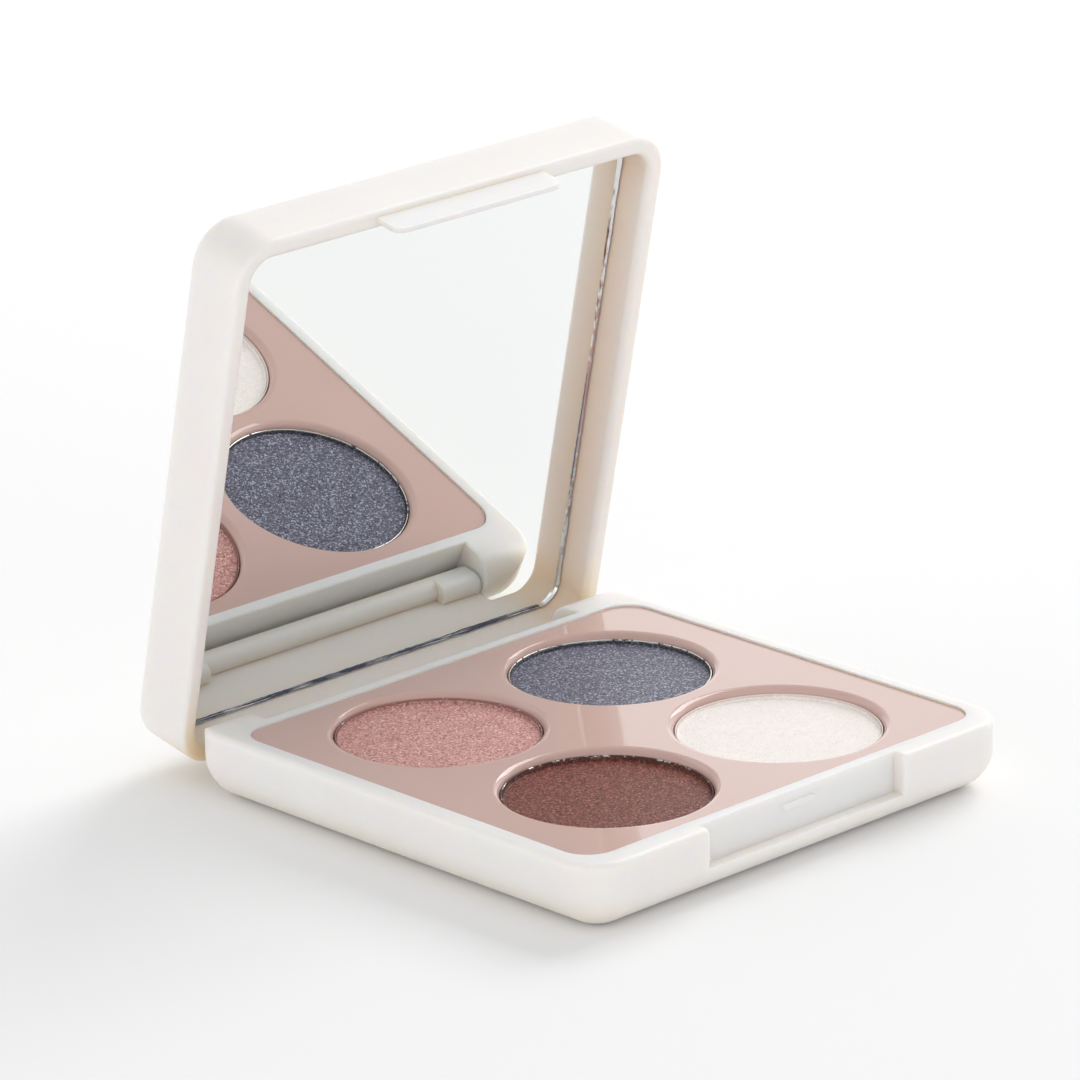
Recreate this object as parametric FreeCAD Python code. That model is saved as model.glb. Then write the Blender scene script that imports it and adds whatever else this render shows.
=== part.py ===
import FreeCAD, Part
import os

# Hinged eyeshadow compact with a mirror in the lid and a tray of four round pans.
# Millimetres. X runs to the right, Y runs from the front to the hinge, Z is up, and the
# origin is the middle of the underside. The lid is built closed and then turned open.

V = FreeCAD.Vector

# Whole compact
half_width = 36.75          # both shells are 73.5 mm square
corner_radius = 5.7         # upright corners of both shells
open_angle = 77.76          # how far the lid stands open, in degrees

# Base shell
base_height = 9.3
base_underside_round = 5.5
base_rim_round = 0.9
pocket_half_width = 34.5
pocket_front_y = -33.23
pocket_rear_y = 29.56
pocket_floor_z = 2.4
pocket_corner_radius = 4.1

# Finger recess and catch at the front of the base
recess_half_width = 17.1
recess_wall_y = -34.75
recess_ledge_z = 4.0
recess_edge_round = 0.5
catch_half_width = 2.65
catch_low_z = 6.92
catch_high_z = 7.8
catch_proud = 0.28
catch_edge_round = 0.15

# Hinge
hinge_y = 33.33
hinge_z = 4.8
hinge_centre_x = -0.6       # the hinge sits a little left of the middle
notch_half_width = 27.6
notch_front_y = 31.05
ear_rear_round = 3.6
ear_side_round = 0.4
notch_edge_round = 0.3
barrel_radius = 1.65
barrel_half_length = 27.3
knuckle_inner_x = 20.7
knuckle_depth = 1.4
pin_radius = 0.75
pin_inner_x = 22.8
pin_outer_x = 32.8
pin_press_gap = 0.02
pin_running_gap = 0.05
pin_end_gap = 0.2

# Lid shell, given as distances along the closed lid's height above the hinge axis
lid_rim_w = 4.58
lid_back_w = 13.58
lid_wall = 2.5
lid_recess_floor_w = 10.6
lid_inner_corner_radius = 3.2
lid_back_round = 1.2
lid_rim_outer_round = 0.6
lid_rim_inner_round = 0.9
leaf_lower_round = 1.9

# Catch tab under the lid's front rim
tab_half_width = 14.3
tab_outer_setback = 0.7
tab_thickness = 0.7
tab_length = 4.0
tab_corner_round = 1.5
tab_rib_radius = 0.35
tab_rib_proud = 0.12
tab_rib_z = 6.6

# Mirror and the double-sided tape behind it
mirror_front_w = 9.2
mirror_thickness = 1.2
mirror_edge_gap = 0.15
mirror_corner_radius = 3.1
tape_margin = 3.0
tape_corner_radius = 2.0

# Tray that holds the pans
tray_half_width = 34.4
tray_front_y = -33.13
tray_rear_y = 29.46
tray_top_z = 9.0
tray_corner_radius = 4.0
tray_plate_thickness = 1.4
tray_skirt = 1.2
well_radius = 13.22
well_wall = 1.0
well_floor = 1.2
well_lip_round = 1.0
pan_spacing_x = 15.16
pan_spacing_y = 15.07
pan_centre_y = -1.79

# Round metal pans and the pressed powder in them
pan_radius = 13.1
pan_wall = 0.25
pan_top_z = 8.2
pan_bottom_round = 0.8
glue_thickness = 0.2
glue_radius = 4.0
powder_top_z = 7.6
powder_edge_gap = 0.02
powder_edge_round = 0.25

# How far cutting blocks reach past the shells, so that they cut right through
cut_reach = 40.0
cut_top = 12.0

# Each pan's side (left or right) and row (front or rear)
powders = {
    "slate": (1, 1),
    "rose": (-1, 1),
    "burgundy": (-1, -1),
    "ivory": (1, -1),
}


def rounded_block(half_x, y_front, y_rear, z_low, z_high, radius):
    """Upright block with rounded vertical corners."""
    height = z_high - z_low
    block = Part.makeBox(2 * half_x, y_rear - y_front, height, V(-half_x, y_front, z_low))
    uprights = [edge for edge in block.Edges if edge.BoundBox.ZLength > 0.9 * height]
    return block.makeFillet(radius, uprights)


def box_between(low, high):
    """Box given by its lowest and highest corners."""
    size = V(*high) - V(*low)
    return Part.makeBox(size.x, size.y, size.z, V(*low))


def edges_at(shape, z):
    """Edges that lie flat at one height."""
    found = []
    for edge in shape.Edges:
        box = edge.BoundBox
        if box.ZMin > z - 0.01 and box.ZMax < z + 0.01:
            found.append(edge)
    return found


def edges_along_x(shape, y, z):
    """Straight edges that run along X at one depth and height."""
    found = []
    for edge in edges_at(shape, z):
        box = edge.BoundBox
        if box.YLength < 0.01 and abs(box.YMin - y) < 0.01:
            found.append(edge)
    return found


def rod(x_one, x_two, y, z, radius):
    """Round rod along X between two ends, given in either order."""
    start = V(min(x_one, x_two), y, z)
    return Part.makeCylinder(radius, abs(x_two - x_one), start, V(1, 0, 0))


def disc(x, y, z_low, z_high, radius):
    """Upright round disc."""
    return Part.makeCylinder(radius, z_high - z_low, V(x, y, z_low))


def recess_outer_edges(shape):
    """The two upright edges where the finger recess meets the base's front wall."""
    found = []
    for edge in shape.Edges:
        box = edge.BoundBox
        upright = box.ZLength > 0.2 and box.XLength < 0.01 and box.YLength < 0.01
        at_side = abs(abs(box.Center.x) - recess_half_width) < 0.01
        if upright and at_side and box.YMax < -half_width + 0.01:
            found.append(edge)
    return found


def pan_places():
    """Name and centre of each pan."""
    for name, (side, row) in powders.items():
        yield name, side * pan_spacing_x, pan_centre_y + row * pan_spacing_y


def make_base_shell():
    """Base: a soft-edged square dish with a pocket, a finger recess and two hinge ears."""
    body = rounded_block(half_width, -half_width, half_width, 0, base_height, corner_radius)
    body = body.makeFillet(base_underside_round, edges_at(body, 0))
    body = body.makeFillet(base_rim_round, edges_at(body, base_height))

    # The ears are rounded over behind, so that the lid's rear wall can swing past them.
    arc_y = half_width - ear_rear_round
    arc_z = base_height - ear_rear_round
    corner = box_between((-cut_reach, arc_y, arc_z), (cut_reach, cut_reach, cut_top))
    body = body.cut(corner.cut(rod(-cut_reach, cut_reach, arc_y, arc_z, ear_rear_round)))

    # Between the ears the base stops short, and the lid's barrel turns in the notch.
    notch_left = hinge_centre_x - notch_half_width
    notch_right = hinge_centre_x + notch_half_width
    notch = box_between((notch_left, notch_front_y, -1), (notch_right, cut_reach, cut_top))
    body = body.cut(notch)
    ear_sides = []
    for edge in body.Edges:
        box = edge.BoundBox
        upright = box.XLength < 0.01 and box.YLength < 0.01 and box.ZLength > 0.1
        at_ear = notch_left - 0.01 < box.Center.x < notch_right + 0.01
        if upright and at_ear and box.YMax > half_width - 0.01:
            ear_sides.append(edge)
    body = body.makeFillet(ear_side_round, ear_sides)
    body = body.makeFillet(notch_edge_round, edges_along_x(body, notch_front_y, base_height))

    pocket = rounded_block(
        pocket_half_width, pocket_front_y, pocket_rear_y, pocket_floor_z, cut_top,
        pocket_corner_radius,
    )
    body = body.cut(pocket)

    recess = box_between(
        (-recess_half_width, -cut_reach, recess_ledge_z),
        (recess_half_width, recess_wall_y, cut_top),
    )
    body = body.cut(recess)
    body = body.makeFillet(recess_edge_round, recess_outer_edges(body))
    bar = box_between(
        (-catch_half_width, recess_wall_y - catch_proud, catch_low_z),
        (catch_half_width, recess_wall_y + 0.3, catch_high_z),
    )
    front_edges = [edge for edge in bar.Edges if edge.BoundBox.YMax < recess_wall_y - 0.01]
    body = body.fuse(bar.makeFillet(catch_edge_round, front_edges))

    for side in (-1, 1):
        inner_x = hinge_centre_x + side * (notch_half_width - 1)
        outer_x = hinge_centre_x + side * (pin_outer_x + pin_end_gap)
        body = body.cut(rod(inner_x, outer_x, hinge_y, hinge_z, pin_radius + pin_press_gap))
    return body.removeSplitter()


def make_lid_shell():
    """Lid in its closed position: a square cap with a hinge leaf behind and a catch tab in front."""
    rim_z = hinge_z + lid_rim_w
    back_z = hinge_z + lid_back_w
    inner = half_width - lid_wall
    body = rounded_block(half_width, -half_width, half_width, rim_z, back_z, corner_radius)
    body = body.makeFillet(lid_back_round, edges_at(body, back_z))
    body = body.makeFillet(lid_rim_outer_round, edges_at(body, rim_z))
    cavity = rounded_block(
        inner, -inner, inner, rim_z - 1, hinge_z + lid_recess_floor_w, lid_inner_corner_radius
    )
    body = body.cut(cavity)
    mouth = []
    for edge in edges_at(body, rim_z):
        box = edge.BoundBox
        if max(abs(box.XMin), abs(box.XMax), abs(box.YMin), abs(box.YMax)) < inner + 0.01:
            mouth.append(edge)
    body = body.makeFillet(lid_rim_inner_round, mouth)

    # Hinge leaf: the rear wall runs on below the rim and ends in the barrel.
    low_z = hinge_z - barrel_radius
    left = hinge_centre_x - barrel_half_length
    right = hinge_centre_x + barrel_half_length
    leaf = box_between((left, inner, low_z), (right, half_width, rim_z + 1))
    foot = box_between((left, hinge_y, low_z), (right, half_width, hinge_z))
    leaf = leaf.fuse(foot).removeSplitter()
    leaf = leaf.makeFillet(leaf_lower_round, edges_along_x(leaf, half_width, low_z))
    barrel = rod(left, right, hinge_y, hinge_z, barrel_radius)
    body = body.fuse([leaf, barrel])

    # Deeper knuckles at both ends of the barrel take the pins.
    for side in (-1, 1):
        inner_x = hinge_centre_x + side * knuckle_inner_x
        outer_x = hinge_centre_x + side * barrel_half_length
        lobe = rod(inner_x, outer_x, hinge_y, hinge_z + knuckle_depth, barrel_radius)
        web = box_between(
            (min(inner_x, outer_x), hinge_y - barrel_radius, hinge_z),
            (max(inner_x, outer_x), hinge_y + barrel_radius, hinge_z + knuckle_depth),
        )
        body = body.fuse([lobe, web])
        bore_end = hinge_centre_x + side * (pin_inner_x - pin_end_gap)
        bore_mouth = hinge_centre_x + side * (barrel_half_length + 1)
        bore = rod(bore_end, bore_mouth, hinge_y, hinge_z, pin_radius + pin_running_gap)
        body = body.cut(bore)

    tab_y = -half_width + tab_outer_setback
    tab = box_between(
        (-tab_half_width, tab_y, rim_z - tab_length),
        (tab_half_width, tab_y + tab_thickness, rim_z + 1),
    )
    corners = [edge for edge in edges_at(tab, rim_z - tab_length) if edge.BoundBox.XLength < 0.01]
    tab = tab.makeFillet(tab_corner_round, corners)
    rib = rod(
        -catch_half_width, catch_half_width,
        tab_y + tab_thickness - tab_rib_radius + tab_rib_proud, tab_rib_z, tab_rib_radius,
    )
    body = body.fuse([tab, rib])
    return body.removeSplitter()


def make_mirror_glass():
    """Mirror: a flat sheet of glass, silvered behind, in the bottom of the lid's recess."""
    inner = half_width - lid_wall - mirror_edge_gap
    front_z = hinge_z + mirror_front_w
    back_z = front_z + mirror_thickness
    return rounded_block(inner, -inner, inner, front_z, back_z, mirror_corner_radius)


def make_mirror_tape():
    """Square of double-sided tape that holds the mirror in the lid."""
    half = half_width - lid_wall - tape_margin
    front_z = hinge_z + mirror_front_w + mirror_thickness
    back_z = hinge_z + lid_recess_floor_w
    return rounded_block(half, -half, half, front_z, back_z, tape_corner_radius)


def make_powder_tray():
    """Tray: a moulded plate with a skirt and four round wells."""
    body = rounded_block(
        tray_half_width, tray_front_y, tray_rear_y, pocket_floor_z, tray_top_z, tray_corner_radius
    )
    hollow = rounded_block(
        tray_half_width - tray_skirt, tray_front_y + tray_skirt, tray_rear_y - tray_skirt,
        pocket_floor_z - 1, tray_top_z - tray_plate_thickness, tray_corner_radius - tray_skirt,
    )
    for name, x, y in pan_places():
        hollow = hollow.cut(disc(x, y, pocket_floor_z - 2, tray_top_z, well_radius + well_wall))
    body = body.cut(hollow)
    for name, x, y in pan_places():
        body = body.cut(disc(x, y, pocket_floor_z + well_floor, tray_top_z + 1, well_radius))
    lips = []
    for edge in edges_at(body, tray_top_z):
        box = edge.BoundBox
        if abs(box.XLength - 2 * well_radius) < 0.1 and abs(box.YLength - 2 * well_radius) < 0.1:
            lips.append(edge)
    return body.makeFillet(well_lip_round, lips)


def make_glue_dot(x, y):
    """Spot of glue under one pan."""
    floor_z = pocket_floor_z + well_floor
    return disc(x, y, floor_z, floor_z + glue_thickness, glue_radius)


def make_pan(x, y):
    """Shallow round tinplate pan."""
    bottom_z = pocket_floor_z + well_floor + glue_thickness
    outside = disc(x, y, bottom_z, pan_top_z, pan_radius)
    outside = outside.makeFillet(pan_bottom_round, edges_at(outside, bottom_z))
    inside = disc(x, y, bottom_z + pan_wall, pan_top_z + 1, pan_radius - pan_wall)
    return outside.cut(inside)


def make_powder(x, y):
    """Cake of pressed powder in one pan."""
    floor_z = pocket_floor_z + well_floor + glue_thickness + pan_wall
    cake = disc(x, y, floor_z, powder_top_z, pan_radius - pan_wall - powder_edge_gap)
    return cake.makeFillet(powder_edge_round, edges_at(cake, powder_top_z))


def make_hinge_pin(side):
    """Steel pin pressed into one ear, on which the lid's knuckle turns."""
    inner_x = hinge_centre_x + side * pin_inner_x
    outer_x = hinge_centre_x + side * pin_outer_x
    return rod(inner_x, outer_x, hinge_y, hinge_z, pin_radius)


base_parts = {
    "base_shell": make_base_shell(),
    "powder_tray": make_powder_tray(),
    "hinge_pin_left": make_hinge_pin(-1),
    "hinge_pin_right": make_hinge_pin(1),
}
for powder_name, pan_x, pan_y in pan_places():
    base_parts["glue_dot_" + powder_name] = make_glue_dot(pan_x, pan_y)
    base_parts["pan_" + powder_name] = make_pan(pan_x, pan_y)
    base_parts["powder_" + powder_name] = make_powder(pan_x, pan_y)

lid_parts = {
    "lid_shell": make_lid_shell(),
    "mirror_glass": make_mirror_glass(),
    "mirror_tape": make_mirror_tape(),
}
for lid_shape in lid_parts.values():
    lid_shape.rotate(V(0, hinge_y, hinge_z), V(1, 0, 0), -open_angle)

os.makedirs("parts", exist_ok=True)
for node, shape in list(base_parts.items()) + list(lid_parts.items()):
    solid = shape.Solids[0]
    print(node, len(shape.Solids), "solid, valid", solid.isValid(), "volume", round(solid.Volume, 2))
    solid.exportStep("parts/" + node + ".step")
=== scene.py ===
import math

import bmesh
import bpy
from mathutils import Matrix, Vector, noise


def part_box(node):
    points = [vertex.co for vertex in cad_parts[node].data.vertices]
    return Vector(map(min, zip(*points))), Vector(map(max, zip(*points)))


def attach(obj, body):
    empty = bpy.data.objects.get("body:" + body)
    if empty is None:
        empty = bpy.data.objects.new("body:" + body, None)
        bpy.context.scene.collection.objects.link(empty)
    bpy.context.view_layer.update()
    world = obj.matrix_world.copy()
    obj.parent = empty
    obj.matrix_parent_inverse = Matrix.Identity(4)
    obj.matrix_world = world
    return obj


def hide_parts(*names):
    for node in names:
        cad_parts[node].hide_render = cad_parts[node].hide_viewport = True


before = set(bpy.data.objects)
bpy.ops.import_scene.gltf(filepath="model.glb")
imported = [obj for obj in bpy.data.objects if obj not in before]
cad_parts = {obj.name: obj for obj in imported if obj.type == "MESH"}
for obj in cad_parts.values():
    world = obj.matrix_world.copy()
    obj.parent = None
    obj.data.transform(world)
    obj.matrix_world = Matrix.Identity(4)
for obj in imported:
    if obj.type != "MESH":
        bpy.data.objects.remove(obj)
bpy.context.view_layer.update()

# ---------------------------------------------------------------------------------------------
# The view. The open compact is seen from its front left corner, from a little above the table,
# through a long lens, so that its upright edges stay nearly parallel.
camera_data = bpy.data.cameras.new("camera")
camera_data.lens = 230.4
camera_data.sensor_width = 36.0
camera_data.clip_start = 0.05
camera_data.clip_end = 20.0
camera = bpy.data.objects.new("camera", camera_data)
camera.location = (-0.568365, -0.584126, 0.311869)
camera.rotation_euler = [math.radians(turn) for turn in (71.129, 1.056, -44.092)]
bpy.context.scene.collection.objects.link(camera)
bpy.context.scene.camera = camera
bpy.context.scene.view_settings.view_transform = "Standard"

# ---------------------------------------------------------------------------------------------
# Base and lid shells. Injection-moulded ABS in a warm off-white, with a fine satin texture from
# a spark-eroded mould. The resin is slightly milky, so thin walls glow a little in strong light.
# Their hollows also get a painted tan shade, strongest in the side walls, standing in for light
# that comes through the walls.
shell_white = "#F3F1F0"
shell_shade = "#EEEAE8"
painted_hollow_tan = "#F6E4C0"        # painted tan shade laid into the hollows, in place of light filtered through the resin
painted_shade_reach = 0.007
shell_texture_size = 0.00018
shell_texture_depth = 0.000004


def linear(hex_colour):
    """An sRGB hex colour as linear RGBA."""
    parts = [int(hex_colour[at:at + 2], 16) / 255 for at in (1, 3, 5)]
    channels = [c / 12.92 if c <= 0.04045 else ((c + 0.055) / 1.055) ** 2.4 for c in parts]
    return (*channels, 1.0)


def add(tree, kind, settings=None, inputs=None):
    """Adds a node with its settings. An input is a plain value, or another node's output to link."""
    node = tree.nodes.new(kind)
    for name, value in (settings or {}).items():
        setattr(node, name, value)
    for name, value in (inputs or {}).items():
        if isinstance(value, bpy.types.NodeSocket):
            tree.links.new(value, node.inputs[name])
        else:
            node.inputs[name].default_value = value
    return node


def new_material(name):
    """An empty node material, its tree and its output node."""
    material = bpy.data.materials.new(name)
    material.use_nodes = True
    material.node_tree.nodes.clear()
    return material, material.node_tree, add(material.node_tree, "ShaderNodeOutputMaterial")


def finish_node(node, material):
    """Gives a CAD node its real finish in every one of its slots."""
    for material_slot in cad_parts[node].material_slots:
        material_slot.material = material


def shell_plastic(name, painted_tan_share):
    """Satin milky resin, with a painted tan shade in its hollows by the given share, most in the side
    walls.
    """
    material, tree, output = new_material(name)
    where = add(tree, "ShaderNodeTexCoord").outputs["Object"]
    # Slow, faint drift in tint, as moulded resin has where it flowed and cooled.
    flow = add(tree, "ShaderNodeTexNoise", inputs={"Vector": where, "Scale": 45.0, "Detail": 2.0})
    tint = add(tree, "ShaderNodeMix", {"data_type": "RGBA"}, {
        "Factor": flow.outputs["Fac"], 6: linear(shell_shade), 7: linear(shell_white),
    })
    # Painted shade: where ambient occlusion finds a hollow, the colour is mixed towards tan, more in
    # the side walls, standing in for light that came through the walls or off other walls.
    openness = add(tree, "ShaderNodeAmbientOcclusion", {"samples": 12}, {
        "Distance": painted_shade_reach,
    }).outputs["AO"]
    hollow = add(tree, "ShaderNodeMapRange", inputs={
        "Value": openness, "From Min": 0.95, "From Max": 0.3, "To Max": painted_tan_share,
    })
    sideways = add(tree, "ShaderNodeMath", {"operation": "ABSOLUTE"}, {
        0: add(tree, "ShaderNodeSeparateXYZ", inputs={"Vector": where}).outputs["X"],
    })
    thin = add(tree, "ShaderNodeMapRange", inputs={
        "Value": sideways.outputs["Value"], "From Min": 0.026, "From Max": 0.034, "To Min": 0.35,
    })
    tan = add(tree, "ShaderNodeMath", {"operation": "MULTIPLY"}, {
        0: hollow.outputs["Result"], 1: thin.outputs["Result"],
    })
    painted_tan_colour = add(tree, "ShaderNodeMix", {"data_type": "RGBA", "blend_type": "MULTIPLY"}, {
        "Factor": tan.outputs["Value"], 6: tint.outputs[2], 7: linear(painted_hollow_tan),
    })
    # The mould's spark-eroded grain, which breaks up the gloss into a soft sheen.
    grain = add(tree, "ShaderNodeTexNoise", inputs={
        "Vector": where, "Scale": 1 / shell_texture_size, "Detail": 3.0, "Roughness": 0.6,
    })
    grain_bump = add(tree, "ShaderNodeBump", inputs={
        "Height": grain.outputs["Fac"], "Distance": shell_texture_depth, "Strength": 0.6,
    })
    rub = add(tree, "ShaderNodeMapRange", inputs={
        "Value": grain.outputs["Fac"], "To Min": 0.36, "To Max": 0.46,
    })
    surface = add(tree, "ShaderNodeBsdfPrincipled", inputs={
        "Base Color": painted_tan_colour.outputs[2],
        "Roughness": rub.outputs["Result"],
        "IOR": 1.53,
        "Subsurface Weight": 0.8,
        "Subsurface Radius": (1.0, 0.72, 0.45),
        "Subsurface Scale": 0.0022,
        "Normal": grain_bump.outputs["Normal"],
    })
    tree.links.new(surface.outputs["BSDF"], output.inputs["Surface"])
    return material


finish_node("base_shell", shell_plastic("injection-moulded ABS, satin off-white, base", 0.3))
finish_node("lid_shell", shell_plastic("injection-moulded ABS, satin off-white, lid", 1.0))

# ---------------------------------------------------------------------------------------------
# Powder tray. A separate moulding in dusty rose, pressed into the base. Its mould was polished,
# so the face is glossy and mirrors the lid, with the faintest orange-peel ripple.
tray_rose = "#D4B4AD"
tray_rose_deep = "#CDABA0"
tray_plastic, tree, output = new_material("injection-moulded ABS, glossy dusty rose")
where = add(tree, "ShaderNodeTexCoord").outputs["Object"]
flow = add(tree, "ShaderNodeTexNoise", inputs={"Vector": where, "Scale": 60.0, "Detail": 2.0})
tint = add(tree, "ShaderNodeMix", {"data_type": "RGBA"}, {
    "Factor": flow.outputs["Fac"], 6: linear(tray_rose_deep), 7: linear(tray_rose),
})
ripple = add(tree, "ShaderNodeTexNoise", inputs={"Vector": where, "Scale": 160.0, "Detail": 1.0})
ripple_bump = add(tree, "ShaderNodeBump", inputs={
    "Height": ripple.outputs["Fac"], "Distance": 0.000012, "Strength": 0.25,
})
surface = add(tree, "ShaderNodeBsdfPrincipled", inputs={
    "Base Color": tint.outputs[2],
    "Roughness": 0.07,
    "IOR": 1.53,
    "Normal": ripple_bump.outputs["Normal"],
})
tree.links.new(surface.outputs["BSDF"], output.inputs["Surface"])
finish_node("powder_tray", tray_plastic)

# ---------------------------------------------------------------------------------------------
# Pans. Four shallow round cups drawn from thin tinplate, with a rounded lip. Each sits in a well
# of the tray on a spot of glue.
shades = ("slate", "rose", "burgundy", "ivory")
pan_wall = 0.0002
pan_bottom_round = 0.0008
pan_steps = 160


def turned(name, profile, centre, steps):
    """A closed turned shape: the profile's (radius, height) points swept round an upright axis."""
    made = bmesh.new()
    rings = []
    for radius, height in profile:
        if radius == 0:
            rings.append([made.verts.new((centre[0], centre[1], height))])
            continue
        ring = []
        for step in range(steps):
            turn = 2 * math.pi * step / steps
            x = centre[0] + radius * math.cos(turn)
            y = centre[1] + radius * math.sin(turn)
            ring.append(made.verts.new((x, y, height)))
        rings.append(ring)
    for lower, upper in zip(rings, rings[1:]):
        for step in range(steps):
            after = (step + 1) % steps
            if len(lower) == 1:
                corners = (lower[0], upper[after], upper[step])
            elif len(upper) == 1:
                corners = (lower[step], lower[after], upper[0])
            else:
                corners = (lower[step], lower[after], upper[after], upper[step])
            made.faces.new(corners)
    bmesh.ops.recalc_face_normals(made, faces=made.faces)
    for face in made.faces:
        face.smooth = True
    mesh = bpy.data.meshes.new(name)
    made.to_mesh(mesh)
    made.free()
    piece = bpy.data.objects.new(name, mesh)
    bpy.context.scene.collection.objects.link(piece)
    return piece


def arc(centre_radius, centre_height, radius, first, last, count):
    """Points on a round corner of a profile, from one angle to another in degrees."""
    points = []
    for step in range(count + 1):
        turn = math.radians(first + (last - first) * step / count)
        points.append((
            centre_radius + radius * math.cos(turn), centre_height + radius * math.sin(turn),
        ))
    return points


# Each shade's dust on the lip: its colour, and the share of the lip it covers.
powder_dust = {
    "slate": ("#4A4854", 0.35),
    "rose": ("#A0706A", 0.95),
    "burgundy": ("#5A352E", 0.8),
    "ivory": ("#EBDDD6", 1.1),
}


def tinplate(shade):
    """Bright drawn tinplate, its lip partly dulled by a film of the powder pressed into it."""
    dust, cover = powder_dust[shade]
    material, tree, output = new_material("drawn tinplate with " + shade + " powder dust")
    where = add(tree, "ShaderNodeTexCoord").outputs["Object"]
    # Dust lies in flecks of all sizes up to about a millimetre.
    flecks = add(tree, "ShaderNodeTexNoise", inputs={
        "Vector": where, "Scale": 900.0, "Detail": 4.0, "Roughness": 0.7,
    })
    dusted = add(tree, "ShaderNodeMapRange", inputs={
        "Value": flecks.outputs["Fac"], "From Min": 0.66 - 0.3 * cover, "From Max": 0.7 - 0.3 * cover,
    })
    colour = add(tree, "ShaderNodeMix", {"data_type": "RGBA"}, {
        "Factor": dusted.outputs["Result"], 6: linear("#E0DDD9"), 7: linear(dust),
    })
    metal = add(tree, "ShaderNodeMapRange", inputs={
        "Value": dusted.outputs["Result"], "To Min": 1.0, "To Max": 0.1,
    })
    dulled = add(tree, "ShaderNodeMapRange", inputs={
        "Value": dusted.outputs["Result"], "To Min": 0.18, "To Max": 0.6,
    })
    surface = add(tree, "ShaderNodeBsdfPrincipled", inputs={
        "Base Color": colour.outputs[2],
        "Metallic": metal.outputs["Result"],
        "Roughness": dulled.outputs["Result"],
    })
    tree.links.new(surface.outputs["BSDF"], output.inputs["Surface"])
    return material


for shade in shades:
    low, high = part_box("pan_" + shade)
    centre = (low + high) / 2
    outer = (high.x - low.x) / 2
    lip = pan_wall / 2
    bottom = outer - pan_bottom_round
    profile = [(0, low.z), (bottom, low.z)]
    profile += arc(bottom, low.z + pan_bottom_round, pan_bottom_round, -90, 0, 6)[1:]
    profile += arc(outer - lip, high.z - lip, lip, 0, 180, 8)
    profile += [(outer - pan_wall, low.z + pan_wall), (0, low.z + pan_wall)]
    pan = turned("tin_pan_" + shade, profile, centre, pan_steps)
    pan.data.materials.append(tinplate(shade))
    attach(pan, "base")
    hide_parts("pan_" + shade)

# ---------------------------------------------------------------------------------------------
# Pressed powders. Talc and mica with pigment, pressed hard into the pans, so the face is flat
# but finely granular, with a crumbly edge. Mica flakes in it glint. The ivory one has least mica.
powder_looks = {
    # shade: dark flakes, pigment, pale flakes, mica share, painted shade on the film on the wall
    "slate": ("#3C3C4D", "#6B6B7B", "#BEC0D2", 0.40, 0.3),
    "rose": ("#A86F6A", "#D9A29C", "#FFD9D2", 0.30, 0.75),
    "burgundy": ("#47180F", "#7A3F34", "#B27467", 0.25, 0.5),
    "ivory": ("#F4E9E4", "#FCF5F0", "#FFFCF8", 0.0, 1.0),
}
flake_size = 0.00020         # real mica is finer: drawn this coarse so that its glint shows
powder_rings = 90
powder_steps = 260
powder_grain = 0.00002
powder_film = 0.00005        # powder that clings to the pan's wall above the face
film_drop = 0.00012          # the film ends this far below the pan's lip
film_ragged = 0.00025        # how far its upper edge wanders
powder_edge_round = 0.00014
grain_density = 1.6e6        # loose grains to the square metre
grain_radius = 0.00006


def pressed_powder(shade):
    """Pressed pearl powder: matt pigment with mica flakes, each tilted its own way."""
    dark, pigment, pale, amount, film_painted_shade = powder_looks[shade]
    material, tree, output = new_material("pressed pearl powder, " + shade)
    where = add(tree, "ShaderNodeTexCoord").outputs["Object"]
    flakes = add(tree, "ShaderNodeTexVoronoi", inputs={"Vector": where, "Scale": 1 / flake_size})
    parts = add(tree, "ShaderNodeSeparateColor", inputs={"Color": flakes.outputs["Color"]})
    colour = add(tree, "ShaderNodeValToRGB", inputs={"Fac": parts.outputs["Red"]})
    ramp = colour.color_ramp
    ramp.elements[0].color = linear(dark)
    ramp.elements[1].color = linear(pale)
    for place in (0.4, 0.72):
        ramp.elements.new(place).color = linear(pigment)
    # Pressing leaves slow patches, a little deeper or paler.
    patch = add(tree, "ShaderNodeTexNoise", inputs={"Vector": where, "Scale": 260.0, "Detail": 2.0})
    depth = add(tree, "ShaderNodeMapRange", inputs={
        "Value": patch.outputs["Fac"], "To Min": 0.95, "To Max": 1.05,
    })
    # Painted shade: the film on the pan's wall is darkened by the shade's factor, standing in for the
    # shade under the pan's lip.
    clinging = add(tree, "ShaderNodeAttribute", {"attribute_name": "clinging"}).outputs["Fac"]
    painted_film_shade = add(tree, "ShaderNodeMapRange", inputs={
        "Value": clinging, "To Min": 1.0, "To Max": film_painted_shade,
    })
    value = add(tree, "ShaderNodeMath", {"operation": "MULTIPLY"}, {
        0: depth.outputs["Result"], 1: painted_film_shade.outputs["Result"],
    })
    body = add(tree, "ShaderNodeHueSaturation", inputs={
        "Color": colour.outputs["Color"], "Value": value.outputs["Value"],
    })
    tilt = add(tree, "ShaderNodeBump", inputs={
        "Height": parts.outputs["Green"], "Distance": 0.00004, "Strength": 0.7,
    })
    metal = add(tree, "ShaderNodeMapRange", inputs={
        "Value": parts.outputs["Blue"], "From Min": 0.6, "From Max": 1.0, "To Max": amount,
    })
    surface = add(tree, "ShaderNodeBsdfPrincipled", inputs={
        "Base Color": body.outputs["Color"],
        "Metallic": metal.outputs["Result"],
        "Roughness": 0.5,
        "Specular IOR Level": 0.3,
        "Normal": tilt.outputs["Normal"],
    })
    tree.links.new(surface.outputs["BSDF"], output.inputs["Surface"])
    return material


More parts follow.
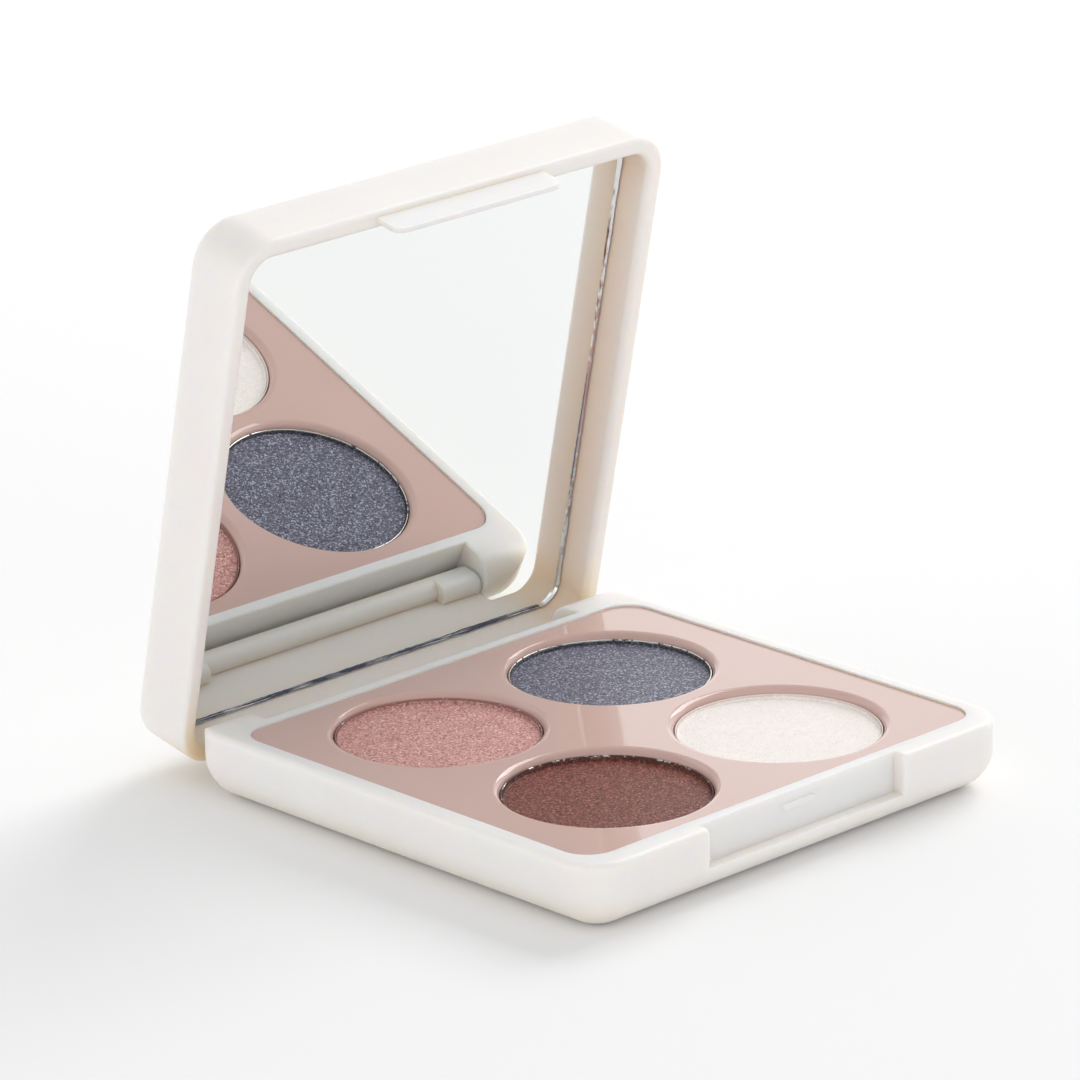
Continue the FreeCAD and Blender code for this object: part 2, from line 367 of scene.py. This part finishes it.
def grain_nodes():
    """Geometry nodes that scatter loose grains over a face and make them plain mesh."""
    tree = bpy.data.node_groups.new("loose powder grains", "GeometryNodeTree")
    sockets = {
        "Bed": "Geometry", "Density": "Float", "Seed": "Int", "Radius": "Float", "Powder": "Material",
    }
    for name, kind in sockets.items():
        tree.interface.new_socket(name, in_out="INPUT", socket_type="NodeSocket" + kind)
    tree.interface.new_socket("Grains", in_out="OUTPUT", socket_type="NodeSocketGeometry")
    given = add(tree, "NodeGroupInput").outputs
    spots = add(tree, "GeometryNodeDistributePointsOnFaces", inputs={
        "Mesh": given["Bed"], "Density": given["Density"], "Seed": given["Seed"],
    })
    grain = add(tree, "GeometryNodeMeshIcoSphere", inputs={
        "Radius": given["Radius"], "Subdivisions": 1,
    })
    size = add(tree, "FunctionNodeRandomValue", {"data_type": "FLOAT_VECTOR"}, {
        0: (0.5, 0.5, 0.3), 1: (1.4, 1.4, 0.9), "Seed": given["Seed"],
    })
    turn = add(tree, "FunctionNodeRandomValue", {"data_type": "FLOAT_VECTOR"}, {
        0: (0.0, 0.0, 0.0), 1: (0.6, 0.6, 6.2), "Seed": given["Seed"],
    })
    grains = add(tree, "GeometryNodeInstanceOnPoints", inputs={
        "Points": spots.outputs["Points"], "Instance": grain.outputs["Mesh"],
        "Rotation": turn.outputs[0], "Scale": size.outputs[0],
    })
    real = add(tree, "GeometryNodeRealizeInstances", inputs={
        "Geometry": grains.outputs["Instances"],
    })
    coloured = add(tree, "GeometryNodeSetMaterial", inputs={
        "Geometry": real.outputs["Geometry"], "Material": given["Powder"],
    })
    result = add(tree, "NodeGroupOutput")
    tree.links.new(coloured.outputs["Geometry"], result.inputs["Grains"])
    return tree


def scattered(bed, tree, values):
    """The plain mesh that the grain nodes make from a bed, which is then removed."""
    scatter = bed.modifiers.new("loose grains", "NODES")
    scatter.node_group = tree
    for socket in tree.interface.items_tree:
        if socket.name in values:
            scatter[socket.identifier] = values[socket.name]
    bpy.context.view_layer.update()
    grown = bed.evaluated_get(bpy.context.evaluated_depsgraph_get())
    mesh = bpy.data.meshes.new_from_object(grown)
    bed.modifiers.remove(scatter)
    bpy.data.objects.remove(bed)
    return mesh


grain_tree = grain_nodes()
for number, shade in enumerate(shades):
    low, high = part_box("powder_" + shade)
    pan_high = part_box("pan_" + shade)[1]
    centre = (low + high) / 2
    outer = (high.x - low.x) / 2
    film_top = pan_high.z - film_drop
    profile = [(0, low.z), (outer, low.z), (outer, film_top), (outer - powder_film / 2, film_top)]
    profile += [(outer - powder_film, film_top - 0.00003)]
    flat = outer - powder_edge_round
    profile += [(outer - powder_film * 1.1, high.z + 0.00006), (flat, high.z)]
    profile += [(flat * (1 - ring / powder_rings), high.z) for ring in range(1, powder_rings)]
    profile += [(0, high.z)]
    cake = turned("pressed_powder_" + shade, profile, centre, powder_steps)
    film = cake.data.attributes.new("clinging", "FLOAT", "POINT")
    for vertex in cake.data.vertices:
        if vertex.co.z > high.z + 0.00003:
            film.data[vertex.index].value = 1.0
            ragged = 0.5 + 0.5 * noise.noise(vertex.co * 1600)
            vertex.co.z -= film_ragged * ragged * (vertex.co.z - high.z) / (film_top - high.z)
        elif vertex.co.z > high.z - 0.0001:
            fine = noise.noise(vertex.co * 4500)
            coarse = noise.noise(vertex.co * 900)
            vertex.co.z -= powder_grain * (1.0 + 0.6 * fine + 0.4 * coarse)
    powder = pressed_powder(shade)
    cake.data.materials.append(powder)
    # Loose grains gather in a band along the foot of the pan's wall.
    bed = turned("grain_bed", [(outer * 0.86, high.z), (outer - 0.0002, high.z)], centre, 48)
    grains = scattered(bed, grain_tree, {
        "Density": grain_density, "Seed": 11 + number, "Radius": grain_radius, "Powder": powder,
    })
    joined = bmesh.new()
    joined.from_mesh(cake.data)
    joined.from_mesh(grains)
    joined.to_mesh(cake.data)
    joined.free()
    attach(cake, "base")
    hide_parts("powder_" + shade)

# ---------------------------------------------------------------------------------------------
# Mirror. A square of float glass, silvered and painted behind, stuck in the bottom of the lid.
# Its edge was scored and snapped, so a thin uneven line of silver and dark paint runs all round.
mirror_corner = 0.0031
silver_depth = 0.00057       # how deep the silver seems to lie under the front of the glass
edge_line = 0.00034          # height of the broken edge that shows above the silver
edge_steps = (280, 24)       # points along each side and round each corner
edge_inset = 0.00012         # how far the silvering stops short of the glass's edge

glass_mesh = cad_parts["mirror_glass"].data
glass_low, glass_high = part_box("mirror_glass")
across = Vector((1, 0, 0))
facing = max(glass_mesh.polygons, key=lambda face: face.area).normal.copy()
if facing.y > 0:
    facing.negate()
upward = facing.cross(across)
if upward.z < 0:
    upward.negate()
mirror_centre = (glass_low + glass_high) / 2
mirror_half = (glass_high.x - glass_low.x) / 2
spread = [(vertex.co - mirror_centre).dot(facing) for vertex in glass_mesh.vertices]
mirror_front = max(spread)


def rounded_square(half, corner, side_steps, corner_steps):
    """Points round a square with round corners, starting low on its right side."""
    points = []
    straight = half - corner
    for side in range(4):
        turn = side * math.pi / 2
        run = [(half, -straight + 2 * straight * at / side_steps) for at in range(side_steps)]
        for at in range(corner_steps):
            angle = math.pi / 2 * at / corner_steps
            run.append((straight + corner * math.cos(angle), straight + corner * math.sin(angle)))
        for x, y in run:
            points.append((
                x * math.cos(turn) - y * math.sin(turn), x * math.sin(turn) + y * math.cos(turn),
            ))
    return points


silver, tree, output = new_material("mirror silvering under float glass")
where = add(tree, "ShaderNodeTexCoord").outputs["Object"]
# Float glass has a very faint long wave, which only shows as a slight swim in the reflection.
wave = add(tree, "ShaderNodeTexNoise", inputs={"Vector": where, "Scale": 40.0, "Detail": 0.0})
wave_bump = add(tree, "ShaderNodeBump", inputs={
    "Height": wave.outputs["Fac"], "Distance": 0.000003, "Strength": 0.1,
})
surface = add(tree, "ShaderNodeBsdfPrincipled", inputs={
    "Base Color": linear("#F7F9F8"), "Metallic": 1.0, "Roughness": 0.0,
    "Normal": wave_bump.outputs["Normal"],
})
tree.links.new(surface.outputs["BSDF"], output.inputs["Surface"])

# The snapped edge: bright silvered splinters of glass with the navy backing paint between them.
snapped, tree, output = new_material("snapped mirror edge, silver and navy backing paint")
painted = add(tree, "ShaderNodeAttribute", {"attribute_name": "painted"}).outputs["Fac"]
along = add(tree, "ShaderNodeAttribute", {"attribute_name": "along"}).outputs["Fac"]
over = add(tree, "ShaderNodeAttribute", {"attribute_name": "over"}).outputs["Fac"]
# The splinters are long along the edge and thin across it.
stretched = add(tree, "ShaderNodeCombineXYZ", inputs={
    "X": add(tree, "ShaderNodeMath", {"operation": "MULTIPLY"}, {0: along, 1: 170.0}).outputs[0],
    "Y": add(tree, "ShaderNodeMath", {"operation": "MULTIPLY"}, {0: over, 1: 2.6}).outputs[0],
})
splinters = add(tree, "ShaderNodeTexNoise", inputs={
    "Vector": stretched.outputs["Vector"], "Scale": 1.0, "Detail": 3.0, "Roughness": 0.6,
})
mixed = add(tree, "ShaderNodeMath", {"operation": "ADD"}, {
    0: splinters.outputs["Fac"], 1: painted,
})
paint_share = add(tree, "ShaderNodeMapRange", inputs={
    "Value": mixed.outputs["Value"], "From Min": 0.78, "From Max": 0.84,
})
edge_colour = add(tree, "ShaderNodeMix", {"data_type": "RGBA"}, {
    "Factor": paint_share.outputs["Result"], 6: linear("#E9EBEC"), 7: linear("#2B3350"),
})
edge_metal = add(tree, "ShaderNodeMapRange", inputs={
    "Value": paint_share.outputs["Result"], "To Min": 1.0, "To Max": 0.0,
})
surface = add(tree, "ShaderNodeBsdfPrincipled", inputs={
    "Base Color": edge_colour.outputs[2],
    "Metallic": edge_metal.outputs["Result"],
    "Roughness": 0.12,
})
tree.links.new(surface.outputs["BSDF"], output.inputs["Surface"])

backing, tree, output = new_material("mirror backing paint, matt navy")
where = add(tree, "ShaderNodeTexCoord").outputs["Object"]
stipple = add(tree, "ShaderNodeTexNoise", inputs={"Vector": where, "Scale": 2500.0, "Detail": 2.0})
shade_of_paint = add(tree, "ShaderNodeMix", {"data_type": "RGBA"}, {
    "Factor": stipple.outputs["Fac"], 6: linear("#272E47"), 7: linear("#323A58"),
})
surface = add(tree, "ShaderNodeBsdfPrincipled", inputs={
    "Base Color": shade_of_paint.outputs[2], "Roughness": 0.6,
})
tree.links.new(surface.outputs["BSDF"], output.inputs["Surface"])

made = bmesh.new()
painted_layer = made.verts.layers.float.new("painted")
along_layer = made.verts.layers.float.new("along")
over_layer = made.verts.layers.float.new("over")
silver_level = mirror_front - silver_depth
inner = rounded_square(mirror_half - edge_inset, mirror_corner - edge_inset, *edge_steps)
outer = rounded_square(mirror_half, mirror_corner, *edge_steps)


def mirror_point(place, level, out=0.0, over=0.0):
    """A vertex on the mirror, from its place on the glass and its level along the glass's normal."""
    across_by, up_by = place[0] * (1 + out), place[1] * (1 + out)
    vertex = made.verts.new(
        mirror_centre + across * across_by + upward * up_by + facing * level
    )
    # The navy share is largest along the lower edge, smaller at its corners, least on the upright
    # edges.
    low_edge = max(0.0, min(1.0, (-place[1] - 0.9 * mirror_half) / (0.08 * mirror_half)))
    if abs(place[0]) > mirror_half - mirror_corner:
        low_edge *= 0.3
    patches = noise.noise(Vector((place[0], place[1], 0)) * 120)
    vertex[painted_layer] = 0.06 + 0.3 * low_edge + 0.2 * patches
    vertex[along_layer] = place[0] + place[1]
    vertex[over_layer] = over
    return vertex


rows = [[], [], [], []]
for inside, outside in zip(inner, outer):
    spot = Vector((outside[0], outside[1], 0))
    rough = noise.noise(spot * 1400) * 0.5 + noise.noise(spot * 420) * 0.5
    widened = 0.45 * abs(outside[1]) / mirror_half
    top = silver_level + edge_line * (0.8 + widened + 0.5 * rough)
    rows[0].append(mirror_point(inside, silver_level, 0.0010 * noise.noise(spot * 900)))
    rows[1].append(mirror_point(inside, top, 0.0014 + 0.0012 * noise.noise(spot * 700), 1.0))
    rows[2].append(mirror_point(outside, top - 0.00005, 0.0, 1.3))
    rows[3].append(mirror_point(outside, -mirror_front))
count = len(outer)
made.faces.new(rows[0]).material_index = 0
for at in range(count):
    after = (at + 1) % count
    for row, (near, far) in enumerate(zip(rows, rows[1:])):
        face = made.faces.new((near[at], far[at], far[after], near[after]))
        face.material_index = 2 if row == 2 else 1
made.faces.new(rows[3]).material_index = 2
bmesh.ops.recalc_face_normals(made, faces=made.faces)
bmesh.ops.triangulate(made, faces=[face for face in made.faces if len(face.verts) > 4])
mirror_mesh = bpy.data.meshes.new("mirror")
made.to_mesh(mirror_mesh)
made.free()
mirror = bpy.data.objects.new("mirror", mirror_mesh)
bpy.context.scene.collection.objects.link(mirror)
for material in (silver, snapped, backing):
    mirror_mesh.materials.append(material)
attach(mirror, "lid")
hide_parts("mirror_glass")

# ---------------------------------------------------------------------------------------------
# Hinge pins. Two short lengths of ground steel rod, pressed into the base's ears. Grinding left
# fine rings round them.
pin_steel, tree, output = new_material("ground steel pin")
where = add(tree, "ShaderNodeTexCoord").outputs["Object"]
rings = add(tree, "ShaderNodeMapping", inputs={"Vector": where, "Scale": (6000.0, 120.0, 120.0)})
marks = add(tree, "ShaderNodeTexNoise", inputs={
    "Vector": rings.outputs["Vector"], "Scale": 1.0, "Detail": 2.0,
})
brightness = add(tree, "ShaderNodeMix", {"data_type": "RGBA"}, {
    "Factor": marks.outputs["Fac"], 6: linear("#B9B9BB"), 7: linear("#D3D3D4"),
})
surface = add(tree, "ShaderNodeBsdfPrincipled", inputs={
    "Base Color": brightness.outputs[2], "Metallic": 1.0, "Roughness": 0.28,
})
tree.links.new(surface.outputs["BSDF"], output.inputs["Surface"])
for node in ("hinge_pin_left", "hinge_pin_right"):
    finish_node(node, pin_steel)

# ---------------------------------------------------------------------------------------------
# Glue. A spot of clear hot-melt under each pan, squeezed flat, with a few small bubbles in it.
hot_melt, tree, output = new_material("clear hot-melt glue")
where = add(tree, "ShaderNodeTexCoord").outputs["Object"]
bubbles = add(tree, "ShaderNodeTexVoronoi", inputs={"Vector": where, "Scale": 1400.0})
cloud = add(tree, "ShaderNodeMapRange", inputs={
    "Value": bubbles.outputs["Distance"], "From Min": 0.1, "From Max": 0.5,
})
resin = add(tree, "ShaderNodeMix", {"data_type": "RGBA"}, {
    "Factor": cloud.outputs["Result"], 6: linear("#F4F1E6"), 7: linear("#E4DDC8"),
})
surface = add(tree, "ShaderNodeBsdfPrincipled", inputs={
    "Base Color": resin.outputs[2], "Roughness": 0.35, "IOR": 1.48, "Transmission Weight": 0.5,
})
tree.links.new(surface.outputs["BSDF"], output.inputs["Surface"])
for shade in shades:
    finish_node("glue_dot_" + shade, hot_melt)

# ---------------------------------------------------------------------------------------------
# Mirror tape. A square of white foam tape, sticky on both faces, die-cut to fit behind the
# mirror. Its closed cells show as fine pits.
foam, tree, output = new_material("white closed-cell foam tape")
where = add(tree, "ShaderNodeTexCoord").outputs["Object"]
cells = add(tree, "ShaderNodeTexVoronoi", inputs={"Vector": where, "Scale": 4500.0})
pits = add(tree, "ShaderNodeBump", inputs={
    "Height": cells.outputs["Distance"], "Distance": 0.00005, "Strength": 0.7,
})
# Painted shade: each pit is drawn darker toward its middle.
foam_pit_shade_tint = add(tree, "ShaderNodeMix", {"data_type": "RGBA"}, {
    "Factor": cells.outputs["Distance"], 6: linear("#DAD6CC"), 7: linear("#EEECE4"),
})
surface = add(tree, "ShaderNodeBsdfPrincipled", inputs={
    "Base Color": foam_pit_shade_tint.outputs[2], "Roughness": 0.85, "Normal": pits.outputs["Normal"],
})
tree.links.new(surface.outputs["BSDF"], output.inputs["Surface"])
finish_node("mirror_tape", foam)

# ---------------------------------------------------------------------------------------------
# The table and the light. A matt white table, a bright room that is darker to the front right,
# and three soft lamps, the strongest of them to the right.
floor_mesh = bpy.data.meshes.new("table_top")
reach = 6.0
room_walls = 1.42            # light from the pale walls all round
room_ceiling = 0.62          # light from above
room_dark_side = 0.35        # share of the light left in the unlit part of the room
dark_side_heading = (0.637, -0.770, 0.04)
floor_mesh.from_pydata(
    [(-reach, -reach, -0.00002), (reach, -reach, -0.00002), (reach, reach, -0.00002),
     (-reach, reach, -0.00002)],
    [], [(0, 1, 2, 3)],
)
table_top = bpy.data.objects.new("table_top", floor_mesh)
bpy.context.scene.collection.objects.link(table_top)
paint, tree, output = new_material("matt white table")
surface = add(tree, "ShaderNodeBsdfPrincipled", inputs={
    "Base Color": (0.97, 0.97, 0.97, 1.0), "Roughness": 0.9, "Specular IOR Level": 0.1,
})
tree.links.new(surface.outputs["BSDF"], output.inputs["Surface"])
floor_mesh.materials.append(paint)

world = bpy.data.worlds.new("room")
bpy.context.scene.world = world
world.use_nodes = True
tree = world.node_tree
tree.nodes.clear()
direction = add(tree, "ShaderNodeSeparateXYZ", inputs={
    "Vector": add(tree, "ShaderNodeTexCoord").outputs["Generated"],
})
glow = add(tree, "ShaderNodeMapRange", {"interpolation_type": "SMOOTHSTEP"}, {
    "Value": direction.outputs["Z"], "From Min": 0.0, "From Max": 0.75,
    "To Min": room_walls, "To Max": room_ceiling,
})
# The room beyond the table's front right is unlit, so the tray's gloss looks deep there.
toward_dark = add(tree, "ShaderNodeVectorMath", {"operation": "DOT_PRODUCT"}, {
    0: add(tree, "ShaderNodeTexCoord").outputs["Generated"], 1: dark_side_heading,
})
left_lit = add(tree, "ShaderNodeMapRange", {"interpolation_type": "SMOOTHSTEP"}, {
    "Value": toward_dark.outputs["Value"], "From Min": 0.8, "From Max": 0.97,
    "To Min": 1.0, "To Max": room_dark_side,
})
strength = add(tree, "ShaderNodeMath", {"operation": "MULTIPLY"}, {
    0: glow.outputs["Result"], 1: left_lit.outputs["Result"],
})
room_light = add(tree, "ShaderNodeBackground", inputs={"Strength": strength.outputs["Value"]})
room_light.inputs["Color"].default_value = (1.0, 1.0, 1.0, 1.0)
tree.links.new(
    room_light.outputs["Background"],
    add(tree, "ShaderNodeOutputWorld").inputs["Surface"],
)


def soft_lamp(name, place, size, power):
    """A square lamp aimed at the compact."""
    data = bpy.data.lights.new(name, "AREA")
    data.shape = "SQUARE"
    data.size = size
    data.energy = power
    lamp = bpy.data.objects.new(name, data)
    lamp.location = place
    lamp.rotation_euler = (Vector((0, 0, 0.03)) - lamp.location).to_track_quat("-Z", "Y").to_euler()
    bpy.context.scene.collection.objects.link(lamp)


soft_lamp("side lamp", (1.25, 0.25, 1.0), 0.9, 11.0)
soft_lamp("front lamp", (-0.2, -1.5, 1.2), 1.4, 0.8)
soft_lamp("backdrop lamp", (1.45, 1.37, 0.62), 0.8, 1.2)
